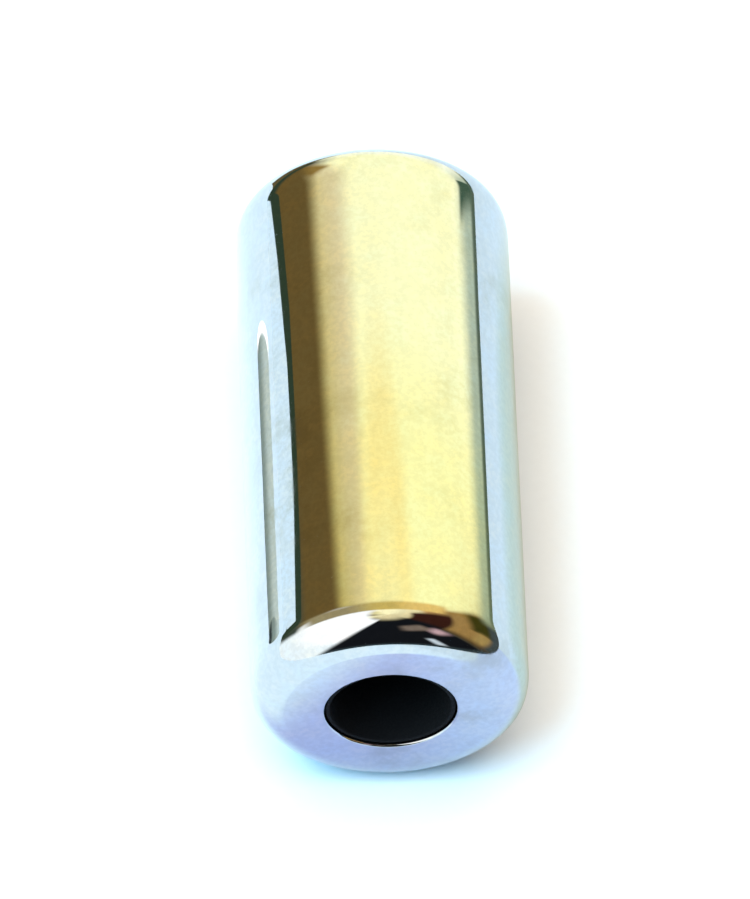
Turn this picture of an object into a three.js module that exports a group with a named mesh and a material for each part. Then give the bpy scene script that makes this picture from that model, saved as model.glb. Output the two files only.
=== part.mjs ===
// A guitar slide lying on its side: a thick, mirror-plated metal tube with rounded ends, and a
// thin black lining along its finger bore.
//
// Millimetres, +Z up. The slide's axis runs along Y, its lowest line rests on z = 0, and the
// origin is on that line, halfway along. The near end faces -Y.

import * as THREE from 'three';

// Driving dimensions of the metal body
const outerDiameter = 32;
const bodyLength = 69;
const boreDiameter = 15.2;
const endRounding = 3.8; // radius between the outside and each end face
const boreEdgeBreak = 0.3; // 45 degree break between the bore and each end face

// Driving dimensions of the lining
const liningWall = 0.5;
const liningClearance = 0.1; // glue gap between the lining and the bore
const liningSetback = 0.4; // how far the lining stops short of each end face
const liningEdgeBreak = 0.15; // small break along the lining's inner edges

// How round the faceted solids are
const flatsAround = 48;
const stepsPerRounding = 8;

const outerRadius = outerDiameter / 2;
const boreRadius = boreDiameter / 2;
const halfLength = bodyLength / 2;
const quarterTurn = Math.PI / 2;

// Every ring is a polygon whose flats touch the true circle, so its corners lie a little outside.
// Half a flat of turn puts one flat straight down, and the slide lies on it without rolling.
const halfFlat = Math.PI / flatsAround;
const cornerStretch = 1 / Math.cos(halfFlat);

// Points along an arc in the profile plane, where x is the radius and y runs along the axis.
function arcPoints(centreX, centreY, radius, startAngle, endAngle, steps) {
  const points = [];
  for (let step = 0; step <= steps; step += 1) {
    const angle = startAngle + ((endAngle - startAngle) * step) / steps;
    const x = centreX + radius * Math.cos(angle);
    const y = centreY + radius * Math.sin(angle);
    points.push(new THREE.Vector2(x, y));
  }
  return points;
}

// Revolves a closed outline about the slide's axis, and lifts it to its height above z = 0.
function revolvedPiece(name, outline, material) {
  const profile = outline.map((point) => new THREE.Vector2(point.x * cornerStretch, point.y));
  profile.push(profile[0].clone());
  const geometry = new THREE.LatheGeometry(profile, flatsAround, halfFlat);
  const mesh = new THREE.Mesh(geometry, material);
  mesh.name = name;
  mesh.position.z = outerRadius;
  return mesh;
}

// The metal tube: bore, flat annular end faces, large rounded outer edges and a plain barrel.
function makeSlideBody() {
  const roundingX = outerRadius - endRounding;
  const roundingY = halfLength - endRounding;
  const outline = [
    new THREE.Vector2(boreRadius, -halfLength + boreEdgeBreak),
    new THREE.Vector2(boreRadius + boreEdgeBreak, -halfLength),
    ...arcPoints(roundingX, -roundingY, endRounding, -quarterTurn, 0, stepsPerRounding),
    ...arcPoints(roundingX, roundingY, endRounding, 0, quarterTurn, stepsPerRounding),
    new THREE.Vector2(boreRadius + boreEdgeBreak, halfLength),
    new THREE.Vector2(boreRadius, halfLength - boreEdgeBreak),
  ];
  const chrome = new THREE.MeshStandardMaterial({
    name: 'chrome',
    color: 0xdde5ea,
    roughness: 0.04,
    metalness: 1,
  });
  return revolvedPiece('slide_body', outline, chrome);
}

// The soft black lining that grips the finger, a thin tube open at both ends.
function makeFingerSleeve() {
  const outside = boreRadius - liningClearance;
  const inside = outside - liningWall;
  const end = halfLength - liningSetback;
  const outline = [
    new THREE.Vector2(inside, -end + liningEdgeBreak),
    new THREE.Vector2(inside + liningEdgeBreak, -end),
    new THREE.Vector2(outside, -end),
    new THREE.Vector2(outside, end),
    new THREE.Vector2(inside + liningEdgeBreak, end),
    new THREE.Vector2(inside, end - liningEdgeBreak),
  ];
  const blackRubber = new THREE.MeshStandardMaterial({
    name: 'black_rubber',
    color: 0x0b0b0c,
    roughness: 0.85,
    metalness: 0,
  });
  return revolvedPiece('finger_sleeve', outline, blackRubber);
}

const guitarSlide = new THREE.Group();
guitarSlide.add(makeSlideBody());
guitarSlide.add(makeFingerSleeve());

export default guitarSlide;
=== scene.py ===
"""Looks for a guitar slide: a mirror-plated metal tube with a thin black lining in its bore.

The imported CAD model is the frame. Both of its nodes are replaced by finer meshes of the same size.
The plating mirrors a small room, a dome with a few things in it, which only reflections show.
"""
import math
from collections import namedtuple

import bpy
from mathutils import Matrix, Vector


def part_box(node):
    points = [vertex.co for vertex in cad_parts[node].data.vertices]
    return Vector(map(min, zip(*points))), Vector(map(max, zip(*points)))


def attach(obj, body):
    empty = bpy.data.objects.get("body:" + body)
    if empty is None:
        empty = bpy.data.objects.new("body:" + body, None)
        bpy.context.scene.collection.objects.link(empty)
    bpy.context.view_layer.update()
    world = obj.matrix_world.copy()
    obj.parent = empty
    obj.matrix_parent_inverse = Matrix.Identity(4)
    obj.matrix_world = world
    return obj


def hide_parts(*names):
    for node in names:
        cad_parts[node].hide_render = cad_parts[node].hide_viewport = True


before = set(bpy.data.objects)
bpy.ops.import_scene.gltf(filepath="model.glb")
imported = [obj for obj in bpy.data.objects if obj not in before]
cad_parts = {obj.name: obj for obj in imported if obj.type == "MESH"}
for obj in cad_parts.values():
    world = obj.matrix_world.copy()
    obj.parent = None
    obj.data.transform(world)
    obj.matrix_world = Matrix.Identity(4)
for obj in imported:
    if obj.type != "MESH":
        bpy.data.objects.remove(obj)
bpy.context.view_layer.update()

# ---------------------------------------------------------------- sizes, in metres

MM = 0.001

body_low, body_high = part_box("slide_body")
sleeve_low, sleeve_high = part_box("finger_sleeve")

OUTER_RADIUS = (body_high.x - body_low.x) / 2
HALF_LENGTH = (body_high.y - body_low.y) / 2
AXIS_HEIGHT = (body_high.z + body_low.z) / 2
MIDDLE = Vector((0, 0, AXIS_HEIGHT))

END_ROUNDING = 3.8 * MM
# The bend of the end rounding builds up over this share of its radius, before and after the place
# where a plain arc would start
END_EASE = 0.44
BORE_RADIUS = 7.6 * MM
BORE_EDGE_ROUNDING = 0.3 * MM

SLEEVE_OUTER_RADIUS = (sleeve_high.x - sleeve_low.x) / 2
SLEEVE_HALF_LENGTH = (sleeve_high.y - sleeve_low.y) / 2
SLEEVE_WALL = 0.5 * MM
SLEEVE_EDGE_ROUNDING = 0.15 * MM

# How finely the pieces are turned: steps around the axis, and along each rounding
STEPS_AROUND = 288
END_ROUNDING_STEPS = 60
END_ROUNDING_SUBSTEPS = 8
BORE_EDGE_STEPS = 6
SLEEVE_EDGE_STEPS = 5

QUARTER_TURN = math.pi / 2


# ---------------------------------------------------------------- camera

CAMERA_ELEVATION = math.radians(56.82)
CAMERA_SWING = math.radians(-1.965)
CAMERA_DISTANCE = 1.6
CAMERA_LENS = 552.5
CAMERA_SENSOR_WIDTH = 36
# How far the camera slides sideways and upwards, so that the slide sits where it should
CAMERA_SIDE_STEP = -0.63 * MM
CAMERA_RISE = 1.15 * MM


def make_camera():
    """A long lens above and in front of the near end, looking down on the slide."""
    data = bpy.data.cameras.new("camera")
    data.lens = CAMERA_LENS
    data.sensor_width = CAMERA_SENSOR_WIDTH
    data.clip_start = 0.05
    data.clip_end = 10
    camera = bpy.data.objects.new("camera", data)
    bpy.context.scene.collection.objects.link(camera)
    tilt = Matrix.Rotation(QUARTER_TURN - CAMERA_ELEVATION, 4, "X")
    swing = Matrix.Rotation(CAMERA_SWING, 4, "Z")
    turn = swing @ tilt
    offset = turn @ Vector((CAMERA_SIDE_STEP, CAMERA_RISE, CAMERA_DISTANCE))
    camera.matrix_world = Matrix.Translation(MIDDLE + offset) @ turn
    bpy.context.scene.camera = camera


# ---------------------------------------------------------------- helpers

class Nodes:
    """Short ways to add and join shader nodes in one tree."""

    def __init__(self, tree):
        self.tree = tree
        tree.nodes.clear()

    def add(self, kind, **settings):
        node = self.tree.nodes.new(kind)
        for name, value in settings.items():
            setattr(node, name, value)
        return node

    def feed(self, socket, value):
        """Links a socket to an input, or sets the input's own value."""
        if isinstance(value, bpy.types.NodeSocket):
            self.tree.links.new(value, socket)
        else:
            socket.default_value = value

    def math(self, operation, *values):
        node = self.add("ShaderNodeMath", operation=operation)
        for socket, value in zip(node.inputs, values):
            self.feed(socket, value)
        return node.outputs[0]

    def product(self, first, *others):
        for other in others:
            first = self.math("MULTIPLY", first, other)
        return first

    def ramp(self, value, start, end, low=0.0, high=1.0):
        """Goes smoothly from low to high while value goes from start to end."""
        node = self.add("ShaderNodeMapRange", interpolation_type="SMOOTHSTEP")
        for name, item in (("Value", value), ("From Min", start), ("From Max", end),
                           ("To Min", low), ("To Max", high)):
            self.feed(node.inputs[name], item)
        return node.outputs["Result"]

    def fall(self, value, start, end):
        """Goes smoothly from 1 to 0 while value goes from start to end."""
        return self.ramp(value, start, end, 1.0, 0.0)

    def mix(self, factor, first, second, blend="MIX"):
        node = self.add("ShaderNodeMix", data_type="RGBA", blend_type=blend)
        self.feed(node.inputs[0], factor)
        self.feed(node.inputs[6], first)
        self.feed(node.inputs[7], second)
        return node.outputs[2]

    def noise(self, vector, scale, detail=2.0, roughness=0.5):
        node = self.add("ShaderNodeTexNoise")
        self.feed(node.inputs["Vector"], vector)
        self.feed(node.inputs["Scale"], scale)
        self.feed(node.inputs["Detail"], detail)
        self.feed(node.inputs["Roughness"], roughness)
        return node.outputs["Fac"]

    def stretch(self, vector, scale, turn=(0, 0, 0)):
        node = self.add("ShaderNodeMapping")
        self.feed(node.inputs["Vector"], vector)
        node.inputs["Scale"].default_value = scale
        node.inputs["Rotation"].default_value = turn
        return node.outputs["Vector"]

    def place(self):
        """Where a point lies in the object's own frame."""
        return self.add("ShaderNodeTexCoord").outputs["Object"]

    def split(self, vector):
        node = self.add("ShaderNodeSeparateXYZ")
        self.feed(node.inputs[0], vector)
        return node.outputs

    def bump(self, height, strength, distance):
        node = self.add("ShaderNodeBump")
        node.inputs["Strength"].default_value = strength
        node.inputs["Distance"].default_value = distance
        self.feed(node.inputs["Height"], height)
        return node

    def show(self, shader):
        """Makes a shader the surface of the material."""
        output = self.add("ShaderNodeOutputMaterial")
        self.feed(output.inputs["Surface"], shader.outputs[0])

    def glow(self, colour, strength=1.0):
        """Makes the surface give out plain light of a colour."""
        emission = self.add("ShaderNodeEmission")
        self.feed(emission.inputs["Color"], colour)
        self.feed(emission.inputs["Strength"], strength)
        self.show(emission)


def rgb(red, green, blue):
    return (red, green, blue, 1.0)


def new_material(name):
    material = bpy.data.materials.new(name)
    material.use_nodes = True
    return material, Nodes(material.node_tree)


def new_mesh_object(name, vertices, faces, material):
    mesh = bpy.data.meshes.new(name)
    mesh.from_pydata(vertices, [], faces)
    mesh.materials.append(material)
    piece = bpy.data.objects.new(name, mesh)
    bpy.context.scene.collection.objects.link(piece)
    return piece


def ring_faces(rings, around):
    """Faces that join rings of points, each to the next one."""
    faces = []
    for ring in range(rings - 1):
        low, high = ring * around, (ring + 1) * around
        for step in range(around):
            after = (step + 1) % around
            faces.append((low + step, low + after, high + after, high + step))
    return faces


def square(half_size, height):
    """The corners of a level square round the origin."""
    return [(-half_size, -half_size, height), (half_size, -half_size, height),
            (half_size, half_size, height), (-half_size, half_size, height)]


def direction_to(azimuth, elevation):
    """The direction at an azimuth and an elevation in degrees, seen from the slide."""
    turn, rise = math.radians(azimuth), math.radians(elevation)
    flat = math.cos(rise)
    return Vector((flat * math.sin(turn), flat * math.cos(turn), math.sin(rise)))


def stage_mirror_only(thing):
    """Leaves a stage object in reflections and nowhere else."""
    thing.visible_camera = False
    thing.visible_diffuse = False
    thing.visible_transmission = False
    thing.visible_shadow = False


# ---------------------------------------------------------------- the room in the reflections

# The plating mirrors a small room round the slide: a dome that only glossy rays see. Each patch
# of it has its middle and half size as (azimuth, elevation) in degrees seen from the slide, how
# soft its edges are, and its colour. Later patches lie over earlier ones. Azimuth 0 is away from
# the camera and 90 is to its right.
ROOM_RADIUS = 0.25
ROOM_RINGS = 25
ROOM_STEPS_AROUND = 72
CEILING = (1.38, 1.21, 0.67)
ROOM_PATCHES = [
    ("ceiling_glow", (-20, 84), (80, 12), (50, 6), (1.85, 1.75, 1.02)),
    ("back_wall", (20, 24), (46, 44), (10, 8), (1.90, 1.92, 1.10)),
    ("back_wall_pale", (18, 2), (30, 14), (14, 8), (1.80, 1.88, 1.45)),
    ("back_wall_tan", (4, 62.5), (34, 3), (20, 3), (1.84, 1.64, 0.78)),
    ("left_wall_gold", (-60, 46), (17, 34), (13, 12), (0.98, 0.82, 0.24)),
    ("left_wall_grey", (-28, 2), (12, 16), (8, 10), (0.42, 0.38, 0.26)),
    ("left_corner_brown", (-33, 18), (8, 15), (4, 4), (0.52, 0.33, 0.08)),
    ("right_corner_orange", (73, 54), (13, 10), (2.5, 4), (1.00, 0.60, 0.21)),
    ("right_wall", (98, 22), (32, 26), (3, 6), (0.62, 0.38, 0.12)),
    ("right_wall_low", (80, 14), (14, 14), (3, 6), (0.08, 0.075, 0.012)),
    ("right_glow", (108, 16), (14, 6), (8, 4), (0.66, 0.46, 0.15)),
    ("right_skirting", (92, 3), (34, 6), (8, 4), (0.10, 0.13, 0.13)),
    ("right_dim", (54, 4), (14, 9), (8, 6), (0.78, 0.95, 0.72)),
    ("right_horizon", (52, 0), (16, 3.5), (8, 1.5), (0.16, 0.23, 0.16)),
    ("green_thing", (49.5, 8), (2.6, 5.5), (0.5, 1.5), (0.10, 0.19, 0.12)),
    ("right_upper_dark", (114, 58.5), (40, 15.5), (8, 3), (0.07, 0.022, 0.014)),
    ("dark_room", (184, 30), (60, 48), (10, 7), (0.012, 0.014, 0.018)),
    ("dark_room_floor", (182, 1), (56, 4), (10, 3), (0.06, 0.09, 0.10)),
    ("pink_lamp", (140, 39), (7, 7), (5, 5), (1.00, 0.66, 0.70)),
    ("grey_shelf", (154, 50), (13, 7), (6, 4), (0.35, 0.27, 0.21)),
    ("door_gap", (158, 14), (2.5, 8), (2, 3), (1.00, 1.15, 1.25)),
]

# From here a pair of numbers is where a smooth change starts and ends, in degrees for azimuth and
# elevation. X and Y pairs are shares of the direction, to the right and away from the camera.

# The back of the room is yellower where it comes nearer
NEAR_TINT = (1.0, 0.975, 0.76)
NEAR_TINT_STARTS_Y = (0.20, 0.34)
NEAR_TINT_ENDS_Y = (0.46, 0.54)
NEAR_TINT_STARTS_X = (-0.45, -0.20)

# The brown left-hand wall narrows with height, like a wall seen in a corner: for each degree
# upwards its right-hand edge turns by the lean
BROWN_WALL = (0.235, 0.155, 0.045)
BROWN_LEFT_AZIMUTH = (-100, -80)
BROWN_RIGHT_AT_FLOOR = -18
BROWN_RIGHT_SOFTNESS = 7
BROWN_LEAN = -0.75

# The window is a tall bright panel, dimmer low down. Its right-hand edge curves to the right with
# height.
WINDOW_LIGHT = (2.00, 2.06, 2.04)
WINDOW_LIGHT_LOW = (1.56, 1.76, 1.80)
WINDOW_BRIGHTENS_ELEVATION = (12, 30)
WINDOW_LEFT_AZIMUTH = (-156, -148)
WINDOW_TOP_ELEVATION = (72, 80)
WINDOW_RIGHT_AT_FLOOR = -74.5
WINDOW_RIGHT_SOFTNESS = 2
WINDOW_CURVE = 0.0075

# Painted shadow: dark patches round the pale card and along the foot of the left-hand wall
FOOT_SHADOW_PATCHES = [
    ("card_side_shadow", (-70, 9), (8, 10), (4, 5), (0.08, 0.11, 0.08)),
    ("wall_foot_shadow", (-38, 0), (20, 7), (2, 2.5), (0.05, 0.085, 0.05)),
]

# A beam crosses the ceiling just past what the barrel mirrors. Its colour changes from left to
# right.
BEAM_LEFT = (0.56, 0.47, 0.24)
BEAM_MIDDLE = (1.05, 0.80, 0.21)
BEAM_RIGHT = (1.45, 1.02, 0.30)
BEAM_LEFT_TO_MIDDLE_X = (-0.5, -0.1)
BEAM_MIDDLE_TO_RIGHT_X = (0.0, 0.35)
BEAM_NEAR_SIDE_Y = (0.17, 0.22)
BEAM_FAR_SIDE_Y = (0.345, 0.385)
BEAM_LEFT_END_X = (-0.93, -0.80)
BEAM_RIGHT_END_X = (0.55, 0.70)

# All of the room is a little uneven. The noise is its scale, detail and roughness.
MOTTLE_NOISE = (4.0, 4.0, 0.6)
MOTTLE_NOISE_SPAN = (0.3, 0.7)
MOTTLE = 0.03

# A pale card stands beside the window, with a painted shadow round its edge: a dark shape a little
# larger than the card, set behind it. Each outline is by direction, in degrees, with how far inside
# the dome it stands
CARD_OUTLINE = [(-50.6, -1), (-51.6, 3.4), (-53.4, 7.6), (-55.2, 10.6), (-56.6, 13),
                (-58.8, 14.2), (-61, 14.6), (-65, 12.6), (-67, 4), (-70, -1)]
CARD_LIGHT = (1.20, 1.55, 1.75)
CARD_INSET = 10 * MM
# Painted shadow of the card: a dark outline just behind the pale card
CARD_SHADOW_OUTLINE = [(-48, -1), (-49, 5), (-51.4, 11), (-54.4, 16.5), (-58, 18.6),
                     (-62, 19), (-68, 16), (-72, 6), (-74, -1)]
CARD_SHADOW_COLOUR = (0.05, 0.085, 0.05)
CARD_SHADOW_INSET = 6 * MM

Gaze = namedtuple("Gaze", "direction x y azimuth elevation")


def read_gaze(nodes):
    """Which way a point of the dome lies from the slide."""
    direction = nodes.add("ShaderNodeVectorMath", operation="NORMALIZE")
    nodes.feed(direction.inputs[0], nodes.place())
    direction = direction.outputs[0]
    x, y, z = nodes.split(direction)
    azimuth = nodes.math("DEGREES", nodes.math("ARCTAN2", x, y))
    elevation = nodes.math("DEGREES", nodes.math("ARCSINE", z))
    return Gaze(direction, x, y, azimuth, elevation)


def inside_patch(nodes, gaze, middle, half, soft):
    """How far a direction lies inside a patch, from 0 to 1."""
    turn = nodes.math("WRAP", nodes.math("SUBTRACT", gaze.azimuth, middle[0]), 180.0, -180.0)
    across = nodes.math("ABSOLUTE", turn)
    rise = nodes.math("ABSOLUTE", nodes.math("SUBTRACT", gaze.elevation, middle[1]))
    inside_across = nodes.fall(across, half[0] - soft[0], half[0] + soft[0])
    inside_rise = nodes.fall(rise, half[1] - soft[1], half[1] + soft[1])
    return nodes.product(inside_across, inside_rise)


def add_patches(nodes, gaze, colour, patches):
    for _, middle, half, soft, light in patches:
        inside = inside_patch(nodes, gaze, middle, half, soft)
        colour = nodes.mix(inside, colour, rgb(*light))
    return colour


def add_near_tint(nodes, gaze, colour):
    inside = nodes.product(nodes.fall(gaze.y, *NEAR_TINT_ENDS_Y),
                           nodes.ramp(gaze.y, *NEAR_TINT_STARTS_Y),
                           nodes.ramp(gaze.x, *NEAR_TINT_STARTS_X))
    return nodes.mix(inside, colour, rgb(*NEAR_TINT), blend="MULTIPLY")


def add_brown_wall(nodes, gaze, colour):
    edge = nodes.math("MULTIPLY_ADD", gaze.elevation, BROWN_LEAN, BROWN_RIGHT_AT_FLOOR)
    past_edge = nodes.math("SUBTRACT", gaze.azimuth, edge)
    inside = nodes.product(nodes.fall(past_edge, -BROWN_RIGHT_SOFTNESS, BROWN_RIGHT_SOFTNESS),
                           nodes.ramp(gaze.azimuth, *BROWN_LEFT_AZIMUTH))
    return nodes.mix(inside, colour, rgb(*BROWN_WALL))


def add_window(nodes, gaze, colour):
    squared = nodes.math("MULTIPLY", gaze.elevation, gaze.elevation)
    edge = nodes.math("MULTIPLY_ADD", squared, WINDOW_CURVE, WINDOW_RIGHT_AT_FLOOR)
    past_edge = nodes.math("SUBTRACT", gaze.azimuth, edge)
    inside = nodes.product(nodes.fall(past_edge, -WINDOW_RIGHT_SOFTNESS, WINDOW_RIGHT_SOFTNESS),
                           nodes.ramp(gaze.azimuth, *WINDOW_LEFT_AZIMUTH),
                           nodes.fall(gaze.elevation, *WINDOW_TOP_ELEVATION))
    window = nodes.mix(nodes.ramp(gaze.elevation, *WINDOW_BRIGHTENS_ELEVATION),
                       rgb(*WINDOW_LIGHT_LOW), rgb(*WINDOW_LIGHT))
    return nodes.mix(inside, colour, window)


def add_beam(nodes, gaze, colour):
    beam = nodes.mix(nodes.ramp(gaze.x, *BEAM_LEFT_TO_MIDDLE_X),
                     rgb(*BEAM_LEFT), rgb(*BEAM_MIDDLE))
    beam = nodes.mix(nodes.ramp(gaze.x, *BEAM_MIDDLE_TO_RIGHT_X), beam, rgb(*BEAM_RIGHT))
    inside = nodes.product(nodes.fall(gaze.y, *BEAM_FAR_SIDE_Y),
                           nodes.ramp(gaze.y, *BEAM_NEAR_SIDE_Y),
                           nodes.ramp(gaze.x, *BEAM_LEFT_END_X),
                           nodes.fall(gaze.x, *BEAM_RIGHT_END_X))
    return nodes.mix(inside, colour, beam)


def room_material():
    """Light by direction from the slide, painted on the inside of the dome."""
    material, nodes = new_material("room_light")
    gaze = read_gaze(nodes)
    colour = add_patches(nodes, gaze, rgb(*CEILING), ROOM_PATCHES)
    colour = add_near_tint(nodes, gaze, colour)
    colour = add_brown_wall(nodes, gaze, colour)
    colour = add_window(nodes, gaze, colour)
    colour = add_patches(nodes, gaze, colour, FOOT_SHADOW_PATCHES)
    colour = add_beam(nodes, gaze, colour)
    mottle = nodes.noise(gaze.direction, *MOTTLE_NOISE)
    nodes.glow(colour, nodes.ramp(mottle, *MOTTLE_NOISE_SPAN, 1 - MOTTLE, 1 + MOTTLE))
    return material


def make_room():
    """A dome over the slide, open at the floor."""
    vertices = []
    for ring in range(ROOM_RINGS):
        tilt = QUARTER_TURN * ring / (ROOM_RINGS - 1)
        radius = ROOM_RADIUS * math.cos(tilt)
        height = ROOM_RADIUS * math.sin(tilt)
        for step in range(ROOM_STEPS_AROUND):
            turn = 2 * math.pi * step / ROOM_STEPS_AROUND
            vertices.append((radius * math.cos(turn), radius * math.sin(turn), height))
    faces = ring_faces(ROOM_RINGS, ROOM_STEPS_AROUND)
    stage_mirror_only(new_mesh_object("room", vertices, faces, room_material()))


def make_glowing_flat(name, corners, material_name, light):
    """A flat shape of one plain colour."""
    material, nodes = new_material(material_name)
    nodes.glow(rgb(*light))
    faces = [tuple(range(len(corners)))]
    stage_mirror_only(new_mesh_object(name, corners, faces, material))


def make_card(name, outline, inset, light):
    """A flat shape just inside the dome, given by the directions of its corners."""
    radius = ROOM_RADIUS - inset
    corners = [direction_to(azimuth, elevation) * radius for azimuth, elevation in outline]
    make_glowing_flat(name, corners, name, light)


# Two things that lie on the floor outside the camera's view and show in the plating: a pale
# rod along the slide's left side, and a dark board behind it on the left.
ROD_RADIUS = 7.2 * MM
ROD_NEAR = (-61.5 * MM, 2 * MM)
ROD_FAR = (-57 * MM, 41 * MM)
ROD_END_DEPTH = 1.5 * MM
ROD_END_STEPS = 10
ROD_STEPS_AROUND = 24
# The rod is no lamp, yet it glows with painted light: a painted contact shadow at its foot, painted
# shade low on its side, painted light higher up and a painted highlight at its tip
ROD_CONTACT_SHADOW = (0.06, 0.08, 0.08)
ROD_SHADED_SIDE = (0.40, 0.52, 0.47)
ROD_LIT_SIDE = (0.92, 1.10, 1.02)
ROD_TIP_HIGHLIGHT = (3, 3, 3)
# Heights where the rod's painted contact shadow ends and its painted shade turns to painted light,
# and where its painted highlight at the tip starts along Y
ROD_CONTACT_SHADOW_TOP_Z = (1 * MM, 3.5 * MM)
ROD_SHADE_TO_LIGHT_Z = (5 * MM, 13 * MM)
ROD_TIP_HIGHLIGHT_Y = (38.5 * MM, 39.5 * MM)

BOARD_CORNERS = [(-57, 97), (-40, 108), (-30, 246), (-215, 215), (-150, 165), (-95, 128)]
BOARD_HEIGHT = 0.5 * MM
BOARD_LIGHT = (0.20, 0.16, 0.07)


def rod_material():
    material, nodes = new_material("rod_painted_light")
    _, forward, height = nodes.split(nodes.place())
    body = nodes.mix(nodes.ramp(height, *ROD_SHADE_TO_LIGHT_Z), rgb(*ROD_SHADED_SIDE), rgb(*ROD_LIT_SIDE))
    body = nodes.mix(nodes.ramp(forward, *ROD_TIP_HIGHLIGHT_Y), body, rgb(*ROD_TIP_HIGHLIGHT))
    nodes.glow(nodes.mix(nodes.ramp(height, *ROD_CONTACT_SHADOW_TOP_Z), rgb(*ROD_CONTACT_SHADOW), body))
    return material


def make_rod():
    """A bar on the floor with a rounded far end, glowing with painted shade and light and a painted
    highlight at its tip.
    """
    up = Vector((0, 0, 1))
    start, end = Vector((*ROD_NEAR, ROD_RADIUS)), Vector((*ROD_FAR, ROD_RADIUS))
    along = (end - start).normalized()
    side = along.cross(up)
    rings = [(start, 1.0), (end, 1.0)]
    for step in range(1, ROD_END_STEPS):
        angle = QUARTER_TURN * step / ROD_END_STEPS
        rings.append((end + along * ROD_END_DEPTH * math.sin(angle), math.cos(angle)))
    vertices = []
    for centre, share in rings:
        for step in range(ROD_STEPS_AROUND):
            turn = 2 * math.pi * step / ROD_STEPS_AROUND
            out = side * math.cos(turn) + up * math.sin(turn)
            vertices.append(centre + out * ROD_RADIUS * share)
    faces = ring_faces(len(rings), ROD_STEPS_AROUND)
    stage_mirror_only(new_mesh_object("rod", vertices, faces, rod_material()))


def make_board():
    corners = [(x * MM, y * MM, BOARD_HEIGHT) for x, y in BOARD_CORNERS]
    make_glowing_flat("board", corners, "board_dark", BOARD_LIGHT)


# What the plating sees of the floor is dimmer in front of the slide and to its right. Each shade
# is the share of red, green and blue light that is left, and each X or Y pair is the stretch over
# which it fades in or out.
SHADE_SHEET_HEIGHT = 0.4 * MM
SHADE_SHEET_HALF_SIZE = 0.24

FRONT_SHADE = (0.62, 0.585, 0.825)
FRONT_SHADE_RIGHT = (0.72, 0.74, 0.92)
FRONT_SHADE_TO_RIGHT_X = (-2 * MM, 12 * MM)
FRONT_SHADE_ENDS_Y = (-40 * MM, -30 * MM)
# The shade in front ends along a slanted line through this point, lit beyond it on the left
FRONT_SHADE_CORNER = (-13 * MM, -44 * MM)
FRONT_SHADE_SLANT = (0.62, 0.78)
FRONT_SHADE_CORNER_FADE = (-4 * MM, 4 * MM)

RIGHT_SHADE = (0.86, 0.86, 0.87)
RIGHT_SHADE_STARTS_X = (8 * MM, 24 * MM)

RIGHT_NEAR_SHADE = (0.70, 0.75, 0.66)
RIGHT_NEAR_SHADE_STARTS_X = (8 * MM, 20 * MM)
RIGHT_NEAR_SHADE_ENDS_X = (38 * MM, 72 * MM)
RIGHT_NEAR_SHADE_STARTS_Y = (-40 * MM, -30 * MM)
RIGHT_NEAR_SHADE_ENDS_Y = (30 * MM, 52 * MM)


def inside_front_shade(nodes, x, y):
    corner_x, corner_y = FRONT_SHADE_CORNER
    slant_x, slant_y = FRONT_SHADE_SLANT
    past_x = nodes.math("SUBTRACT", x, corner_x)
    past_y = nodes.math("SUBTRACT", y, corner_y)
    past_corner = nodes.math("MULTIPLY_ADD", past_x, slant_x,
                             nodes.math("MULTIPLY", past_y, slant_y))
    return nodes.product(nodes.fall(y, *FRONT_SHADE_ENDS_Y),
                         nodes.ramp(past_corner, *FRONT_SHADE_CORNER_FADE))


def inside_right_near_shade(nodes, x, y):
    return nodes.product(nodes.fall(x, *RIGHT_NEAR_SHADE_ENDS_X),
                         nodes.ramp(x, *RIGHT_NEAR_SHADE_STARTS_X),
                         nodes.fall(y, *RIGHT_NEAR_SHADE_ENDS_Y),
                         nodes.ramp(y, *RIGHT_NEAR_SHADE_STARTS_Y))


def make_shade_sheet():
    """A clear sheet on the floor that dims reflections of it in front and on the right."""
    material, nodes = new_material("shade_sheet")
    x, y, _ = nodes.split(nodes.place())
    colour = nodes.mix(nodes.ramp(x, *RIGHT_SHADE_STARTS_X), rgb(1, 1, 1), rgb(*RIGHT_SHADE))
    colour = nodes.mix(inside_right_near_shade(nodes, x, y), colour, rgb(*RIGHT_NEAR_SHADE))
    front_colour = nodes.mix(nodes.ramp(x, *FRONT_SHADE_TO_RIGHT_X),
                             rgb(*FRONT_SHADE), rgb(*FRONT_SHADE_RIGHT))
    colour = nodes.mix(inside_front_shade(nodes, x, y), colour, front_colour)
    clear = nodes.add("ShaderNodeBsdfTransparent")
    nodes.feed(clear.inputs["Color"], colour)
    nodes.show(clear)
    corners = square(SHADE_SHEET_HALF_SIZE, SHADE_SHEET_HEIGHT)
    stage_mirror_only(new_mesh_object("shade_sheet", corners, [(0, 1, 2, 3)], material))


# ---------------------------------------------------------------- floor and light

FLOOR_HALF_SIZE = 4.0
FLOOR_ALBEDO = 0.88
PAPER_DARK = (0.86, 0.87, 0.87)
PAPER_PALE = (0.89, 0.90, 0.90)
PAPER_FIBRE_NOISE = (900.0, 4.0)
PAPER_ROUGHNESS = 0.9

# Soft light on the floor: (azimuth, elevation), how wide the light is in degrees, and how bright
# the floor gets from it in red, green and blue
LIGHTS = [
    ("window_light", (-110, 52), 50, (0.25, 0.65, 0.96)),
    ("ceiling_light", (4, 85), 70, (0.94, 0.84, 0.71)),
    ("front_fill", (170, 42), 80, (0.09, 0.14, 0.19)),
]


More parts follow.
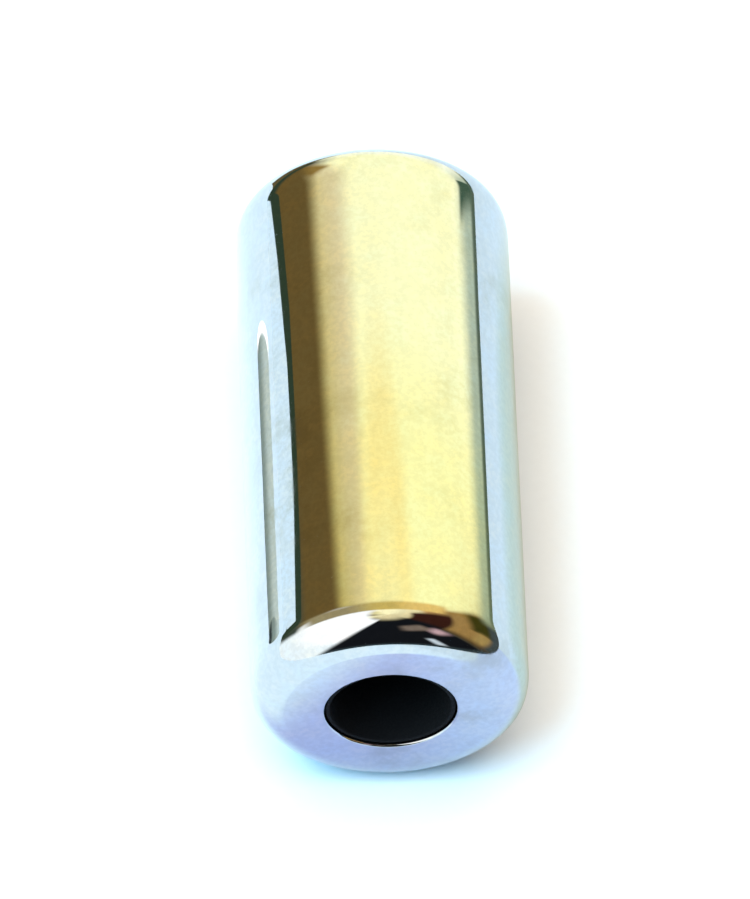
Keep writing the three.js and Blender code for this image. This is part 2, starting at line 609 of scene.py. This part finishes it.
def paper_material():
    """Matt white paper with a faint fibre texture."""
    material, nodes = new_material("white_paper")
    fibre = nodes.noise(nodes.place(), *PAPER_FIBRE_NOISE)
    shader = nodes.add("ShaderNodeBsdfPrincipled")
    colour = nodes.mix(fibre, rgb(*PAPER_DARK), rgb(*PAPER_PALE))
    nodes.feed(shader.inputs["Base Color"], colour)
    shader.inputs["Roughness"].default_value = PAPER_ROUGHNESS
    shader.inputs["Specular IOR Level"].default_value = 0.0
    nodes.show(shader)
    return material


def make_floor():
    corners = square(FLOOR_HALF_SIZE, 0)
    new_mesh_object("floor", corners, [(0, 1, 2, 3)], paper_material())


def make_sky():
    """Plain white beyond the floor, seen by the camera only."""
    world = bpy.data.worlds.new("white_surround")
    bpy.context.scene.world = world
    world.use_nodes = True
    nodes = Nodes(world.node_tree)
    background = nodes.add("ShaderNodeBackground")
    background.inputs["Color"].default_value = rgb(1, 1, 1)
    background.inputs["Strength"].default_value = 1.0
    output = nodes.add("ShaderNodeOutputWorld")
    nodes.feed(output.inputs["Surface"], background.outputs[0])
    seen = world.cycles_visibility
    seen.diffuse = False
    seen.glossy = False
    seen.transmission = False
    seen.scatter = False


def make_lights():
    """Suns that light the floor. The plating doesn't mirror them: it has the room for that."""
    for name, (azimuth, elevation), width, floor_light in LIGHTS:
        brightest = max(floor_light)
        rise = math.sin(math.radians(elevation))
        data = bpy.data.lights.new(name, "SUN")
        data.energy = brightest * math.pi / (FLOOR_ALBEDO * rise)
        data.color = [value / brightest for value in floor_light]
        data.angle = math.radians(width)
        light = bpy.data.objects.new(name, data)
        towards = direction_to(azimuth, elevation)
        light.rotation_euler = towards.to_track_quat("Z", "Y").to_euler()
        light.location = towards
        light.visible_glossy = False
        light.visible_camera = False
        bpy.context.scene.collection.objects.link(light)


# ---------------------------------------------------------------- turned pieces

def arc(centre_radius, centre_y, radius, start, end, steps):
    """Outline points with their outward normals, as (radius, y, normal radius, normal y)."""
    points = []
    for step in range(steps + 1):
        angle = start + (end - start) * step / steps
        across, along = math.cos(angle), math.sin(angle)
        points.append((centre_radius + radius * across, centre_y + radius * along, across, along))
    return points


def turned_piece(name, outline, material):
    """Revolves a closed outline about the slide's axis, with exact normals for clean reflections."""
    vertices, normals, faces = [], [], []
    count = len(outline)
    for step in range(STEPS_AROUND):
        turn = 2 * math.pi * step / STEPS_AROUND
        side, up = math.sin(turn), math.cos(turn)
        for radius, along, normal_radius, normal_along in outline:
            vertices.append((radius * side, along, AXIS_HEIGHT + radius * up))
            normals.append((normal_radius * side, normal_along, normal_radius * up))
    for step in range(STEPS_AROUND):
        here, there = step * count, (step + 1) % STEPS_AROUND * count
        for point in range(count):
            after = (point + 1) % count
            faces.append((here + point, there + point, there + after, here + after))
    piece = new_mesh_object(name, vertices, faces, material)
    mesh = piece.data
    for polygon in mesh.polygons:
        polygon.use_smooth = True
    mesh.normals_split_custom_set_from_vertices(normals)
    return piece


def eased_slope(travel, ease):
    """The turn after some travel along a unit rounding whose bend starts gently."""
    if travel < ease:
        return (travel + ease) ** 2 / (4 * ease)
    return travel


def eased_corner(outer, half_length, rounding, ease):
    """The far outer corner, from the barrel to the end face, as a polishing wheel leaves it.

    The corner is an arc for the most part. Over its first part and as much of the barrel before it
    the bend grows evenly from nothing, so the barrel has no sharp line where the corner starts.
    """
    strides = END_ROUNDING_STEPS * END_ROUNDING_SUBSTEPS
    stride = (QUARTER_TURN + ease) / strides
    drop = advance = 0.0
    places = [(drop, advance, 0.0)]
    for step in range(1, strides + 1):
        slope = eased_slope((step - 0.5) * stride - ease, ease)
        drop += math.sin(slope) * stride
        advance += math.cos(slope) * stride
        if step % END_ROUNDING_SUBSTEPS == 0:
            places.append((drop, advance, eased_slope(step * stride - ease, ease)))
    size = rounding / drop
    start = half_length - advance * size
    return [(outer - fall * size, start + gain * size, math.cos(slope), math.sin(slope))
            for fall, gain, slope in places]


def tube_outline(inner, half_length, inner_rounding, inner_steps, far_corner):
    """The closed outline of a tube with two like ends, from the near edge of its bore."""
    inner_centre = inner + inner_rounding
    inner_y = half_length - inner_rounding
    near_corner = [(radius, -along, across, -out) for radius, along, across, out in far_corner]
    outline = arc(inner_centre, -inner_y, inner_rounding, -2 * QUARTER_TURN, -QUARTER_TURN,
                  inner_steps)
    outline += near_corner[::-1] + far_corner
    outline += arc(inner_centre, inner_y, inner_rounding, QUARTER_TURN, 2 * QUARTER_TURN,
                   inner_steps)
    return outline


# ---------------------------------------------------------------- materials of the slide

# Each noise is its scale, detail and roughness, or its stretch along X, Y and Z. Each span is
# where its smooth change starts and ends.
SPOT_SPAN = (0.35, 0.65)
PLATE_WARM = (0.570, 0.548, 0.522)
PLATE_COOL = (0.525, 0.545, 0.575)
PLATE_COOL_NOISE = (300.0, 4.0, 0.6)
PLATE_SPECKLE = (0.502, 0.502, 0.508)
PLATE_SPECKLE_NOISE = (1500.0, 3.0, 0.6)

# A thin film dulls the plating where smears and breath marks overlap
FILM = (0.43, 0.42, 0.38)
SMEAR_NOISE = (190.0, 6.0, 0.68)
SMEAR_SPAN = (0.45, 0.70)
BREATH_NOISE = (70.0, 3.0, 0.5)
BREATH_SPAN = (0.40, 0.68)

SCRATCH_STRETCH = (500, 5000, 5000)
SCRATCH_TURN = (0.3, 0.5, 0.2)
SCRATCH_DETAIL = 1.0
SCRATCH_SPAN = (0.74, 0.80)

# The film and the scratches add to the roughness of the clean plating
CLEAN_ROUGHNESS = 0.03
FILM_ROUGHNESS = 0.09
SCRATCH_ROUGHNESS = 0.12

# The surface is slightly wavy, and round it run fine polishing rings. A scratch's depth is a share
# of the rings' own.
WAVE_STRETCH = (90, 45, 90)
WAVE_DEPTH = 0.02 * MM
RING_STRETCH = (120, 9000, 120)
RING_DEPTH = 0.0002 * MM
RING_STRENGTH = 0.5
SCRATCH_DEPTH = 0.4

RUBBER_DARK = (0.003, 0.003, 0.0035)
RUBBER_WORN = (0.006, 0.006, 0.0065)
RUBBER_WEAR_NOISE = (220.0, 3.0)
RUBBER_GRAIN_NOISE = (3500.0, 3.0, 0.6)
RUBBER_GRAIN_SPAN = (0.2, 0.8)
RUBBER_ROUGHNESS = (0.7, 0.95)
RUBBER_GLOSS = 0.15
RUBBER_GRAIN_DEPTH = 0.03 * MM
RUBBER_GRAIN_STRENGTH = 0.4


def plate_colour(nodes, place, film):
    """Warm and cool blotches with a fine speckle, dulled where the film lies."""
    cool = nodes.ramp(nodes.noise(place, *PLATE_COOL_NOISE), *SPOT_SPAN)
    speckle = nodes.ramp(nodes.noise(place, *PLATE_SPECKLE_NOISE), *SPOT_SPAN)
    plate = nodes.mix(cool, rgb(*PLATE_WARM), rgb(*PLATE_COOL))
    plate = nodes.mix(speckle, plate, rgb(*PLATE_SPECKLE))
    return nodes.mix(film, plate, rgb(*FILM))


def plate_bump(nodes, place, scratches):
    """A slight waviness, with fine rings and scratches on top of it."""
    waves = nodes.noise(nodes.stretch(place, WAVE_STRETCH), 1.0)
    rings = nodes.noise(nodes.stretch(place, RING_STRETCH), 1.0)
    wavy = nodes.bump(waves, 1.0, WAVE_DEPTH)
    fine_height = nodes.math("MULTIPLY_ADD", scratches, -SCRATCH_DEPTH, rings)
    fine = nodes.bump(fine_height, RING_STRENGTH, RING_DEPTH)
    nodes.feed(fine.inputs["Normal"], wavy.outputs[0])
    return fine.outputs[0]


def chrome_material():
    """Mirror plating with a slight unevenness, fine polishing marks, scratches and smears."""
    material, nodes = new_material("chrome_plating")
    place = nodes.place()
    smear = nodes.ramp(nodes.noise(place, *SMEAR_NOISE), *SMEAR_SPAN)
    breath = nodes.ramp(nodes.noise(place, *BREATH_NOISE), *BREATH_SPAN)
    film = nodes.product(smear, breath)
    scratch_place = nodes.stretch(place, SCRATCH_STRETCH, SCRATCH_TURN)
    scratches = nodes.ramp(nodes.noise(scratch_place, 1.0, SCRATCH_DETAIL), *SCRATCH_SPAN)

    shader = nodes.add("ShaderNodeBsdfPrincipled")
    nodes.feed(shader.inputs["Base Color"], plate_colour(nodes, place, film))
    shader.inputs["Metallic"].default_value = 1.0
    rough = nodes.math("MULTIPLY_ADD", film, FILM_ROUGHNESS, CLEAN_ROUGHNESS)
    rough = nodes.math("MULTIPLY_ADD", scratches, SCRATCH_ROUGHNESS, rough)
    nodes.feed(shader.inputs["Roughness"], rough)
    nodes.feed(shader.inputs["Normal"], plate_bump(nodes, place, scratches))
    nodes.show(shader)
    return material


def rubber_material():
    """Matt black rubber with a fine grain."""
    material, nodes = new_material("black_rubber")
    place = nodes.place()
    grain = nodes.noise(place, *RUBBER_GRAIN_NOISE)
    wear = nodes.noise(place, *RUBBER_WEAR_NOISE)
    shader = nodes.add("ShaderNodeBsdfPrincipled")
    nodes.feed(shader.inputs["Base Color"],
               nodes.mix(wear, rgb(*RUBBER_DARK), rgb(*RUBBER_WORN)))
    nodes.feed(shader.inputs["Roughness"],
               nodes.ramp(grain, *RUBBER_GRAIN_SPAN, *RUBBER_ROUGHNESS))
    shader.inputs["Specular IOR Level"].default_value = RUBBER_GLOSS
    bump = nodes.bump(grain, RUBBER_GRAIN_STRENGTH, RUBBER_GRAIN_DEPTH)
    nodes.feed(shader.inputs["Normal"], bump.outputs[0])
    nodes.show(shader)
    return material


# ---------------------------------------------------------------- the slide

def make_body():
    """The plated metal tube, in place of its CAD node."""
    corner = eased_corner(OUTER_RADIUS, HALF_LENGTH, END_ROUNDING, END_EASE)
    outline = tube_outline(BORE_RADIUS, HALF_LENGTH, BORE_EDGE_ROUNDING, BORE_EDGE_STEPS, corner)
    body = turned_piece("plated_body", outline, chrome_material())
    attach(body, "root")
    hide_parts("slide_body")


def make_lining():
    """The thin black tube in the bore, in place of its CAD node."""
    inner = SLEEVE_OUTER_RADIUS - SLEEVE_WALL
    corner = arc(SLEEVE_OUTER_RADIUS - SLEEVE_EDGE_ROUNDING,
                 SLEEVE_HALF_LENGTH - SLEEVE_EDGE_ROUNDING,
                 SLEEVE_EDGE_ROUNDING, 0, QUARTER_TURN, SLEEVE_EDGE_STEPS)
    outline = tube_outline(inner, SLEEVE_HALF_LENGTH, SLEEVE_EDGE_ROUNDING, SLEEVE_EDGE_STEPS,
                           corner)
    sleeve = turned_piece("bore_lining", outline, rubber_material())
    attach(sleeve, "root")
    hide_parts("finger_sleeve")


make_camera()
make_sky()
make_floor()
make_room()
make_card("card_shadow", CARD_SHADOW_OUTLINE, CARD_SHADOW_INSET, CARD_SHADOW_COLOUR)
make_card("pale_card", CARD_OUTLINE, CARD_INSET, CARD_LIGHT)
make_rod()
make_board()
make_shade_sheet()
make_lights()
make_body()
make_lining()

bpy.context.scene.view_settings.view_transform = "Standard"
